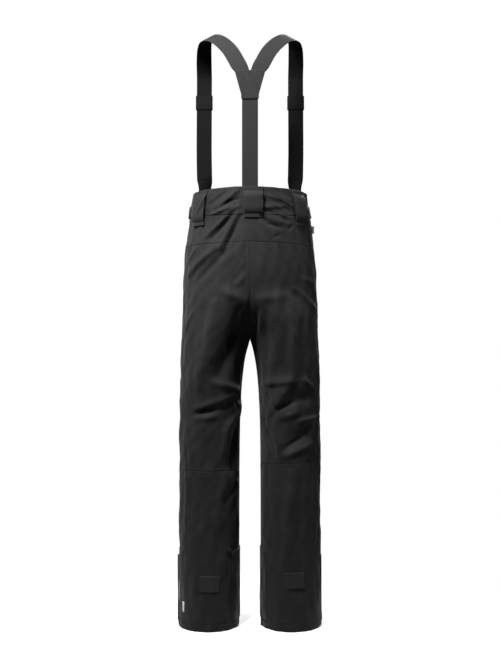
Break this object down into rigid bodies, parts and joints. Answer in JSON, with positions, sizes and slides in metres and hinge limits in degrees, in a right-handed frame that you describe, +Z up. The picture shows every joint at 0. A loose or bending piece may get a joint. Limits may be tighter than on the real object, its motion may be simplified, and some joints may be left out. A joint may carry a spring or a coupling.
{
  "type": "ski pants",
  "caption": "Insulated ski pants with elastic Y-back braces, belt loops, side waist adjusters, zipped fly, pockets and ankles, inner snow gaiters and scuff guards.",
  "frame": {"origin": "middle of the waist opening, level with the waistband's top edge at the sides", "axes": "+Z up towards the wearer's head, +Y to the wearer's front, +X to the wearer's right"},
  "size_m": [0.3576, 0.249, 1.4462],
  "materials": {
    "shell": "matte black twill shell, quilted filling and lining behind it",
    "guard": "coarse black abrasion cloth",
    "gaiter": "thin black lining cloth with an elastic edge",
    "webbing": "black ribbed elastic webbing",
    "zip": "black zip tape with moulded teeth",
    "plastic": "black moulded nylon",
    "metal": "black-coated zinc alloy, satin",
    "label": "plain white woven label, blank"
  },
  "bodies": {
    "pants": {"waistband_back": "shell", "right_waistband_front": "shell", "left_waistband_front": "shell", "back_yoke": "shell", "right_seat_panel": "shell", "right_front_panel": "shell", "right_knee_front_panel": "shell", "right_knee_back_panel": "shell", "right_back_belt_loop": "shell", "right_front_belt_loop": "shell", "right_pocket_zip_tape": "zip", "right_shoulder_strap": "webbing", "right_strap_return": "webbing", "right_ring_tab": "webbing", "right_strap_ring": "metal", "left_seat_panel": "shell", "left_front_panel": "shell", "left_knee_front_panel": "shell", "left_knee_back_panel": "shell", "left_back_belt_loop": "shell", "left_front_belt_loop": "shell", "left_pocket_zip_tape": "zip", "left_shoulder_strap": "webbing", "left_strap_return": "webbing", "left_ring_tab": "webbing", "left_strap_ring": "metal", "centre_back_belt_loop": "shell", "snap_stud": "metal", "fly_zip_tape": "zip", "back_strap": "webbing", "y_patch": "webbing", "right_hip_tag": "label"},
    "right_lower_leg": {"right_shin_panel": "shell", "right_calf_panel": "shell", "right_hem_band": "shell", "right_snow_gaiter": "gaiter", "right_scuff_guard": "guard", "right_cuff_tab": "shell", "right_ankle_flap": "shell", "right_ankle_zip_tape": "zip"},
    "right_ankle_zip_slider": {"right_ankle_zip_slider": "metal"},
    "right_pocket_zip_slider": {"right_pocket_zip_slider": "metal"},
    "right_strap_adjuster": {"right_strap_adjuster": "plastic"},
    "right_adjuster_tab": {"right_adjuster_tab": "shell"},
    "left_lower_leg": {"left_shin_panel": "shell", "left_calf_panel": "shell", "left_hem_band": "shell", "left_snow_gaiter": "gaiter", "left_scuff_guard": "guard", "left_cuff_tab": "shell", "left_ankle_flap": "shell", "left_ankle_zip_tape": "zip", "left_ankle_tag": "label"},
    "left_ankle_zip_slider": {"left_ankle_zip_slider": "metal"},
    "left_pocket_zip_slider": {"left_pocket_zip_slider": "metal"},
    "left_strap_adjuster": {"left_strap_adjuster": "plastic"},
    "left_adjuster_tab": {"left_adjuster_tab": "shell"},
    "fly_zip_slider": {"fly_zip_slider": "metal"},
    "closure_tab": {"closure_tab": "shell", "snap_cap": "metal"}
  },
  "joints": [
    {"name": "right_knee_bend", "type": "hinge", "parent": "pants", "child": "right_lower_leg", "pos_m": [0.0975, 0.015, -0.57], "axis": [-1, 0, 0], "range_deg": [0, 65], "deforming": ["right_knee_front_panel", "right_knee_back_panel"]},
    {"name": "right_ankle_zip", "type": "slide", "parent": "right_lower_leg", "child": "right_ankle_zip_slider", "axis": [-0.0049, -0.0032, 1], "range_m": [0, 0.15]},
    {"name": "right_pocket_zip", "type": "slide", "parent": "pants", "child": "right_pocket_zip_slider", "axis": [0.0641, 0.0273, -0.9976], "range_m": [0, 0.13]},
    {"name": "right_brace_length", "type": "slide", "parent": "pants", "child": "right_strap_adjuster", "axis": [0, 0.0995, 0.995], "range_m": [-0.085, 0.03], "deforming": ["right_strap_return"]},
    {"name": "right_waist_adjuster_peel", "type": "hinge", "parent": "pants", "child": "right_adjuster_tab", "pos_m": [0.1303, 0.0516, -0.046], "axis": [0, 0, 1], "range_deg": [0, 80]},
    {"name": "left_knee_bend", "type": "hinge", "parent": "pants", "child": "left_lower_leg", "pos_m": [-0.0975, 0.015, -0.57], "axis": [-1, 0, 0], "range_deg": [0, 65], "deforming": ["left_knee_front_panel", "left_knee_back_panel"]},
    {"name": "left_ankle_zip", "type": "slide", "parent": "left_lower_leg", "child": "left_ankle_zip_slider", "axis": [0.0049, -0.0032, 1], "range_m": [0, 0.15]},
    {"name": "left_pocket_zip", "type": "slide", "parent": "pants", "child": "left_pocket_zip_slider", "axis": [-0.0641, 0.0273, -0.9976], "range_m": [0, 0.13]},
    {"name": "left_brace_length", "type": "slide", "parent": "pants", "child": "left_strap_adjuster", "axis": [0, 0.0995, 0.995], "range_m": [-0.085, 0.03], "deforming": ["left_strap_return"]},
    {"name": "left_waist_adjuster_peel", "type": "hinge", "parent": "pants", "child": "left_adjuster_tab", "pos_m": [-0.1303, 0.0516, -0.046], "axis": [0, 0, -1], "range_deg": [0, 80]},
    {"name": "fly_zip", "type": "slide", "parent": "pants", "child": "fly_zip_slider", "axis": [0, -0.0056, -1], "range_m": [0, 0.115]},
    {"name": "closure_tab_peel", "type": "hinge", "parent": "pants", "child": "closure_tab", "pos_m": [-0.024, 0.1128, -0.04], "axis": [0, 0, 1], "range_deg": [0, 75]}
  ]
}
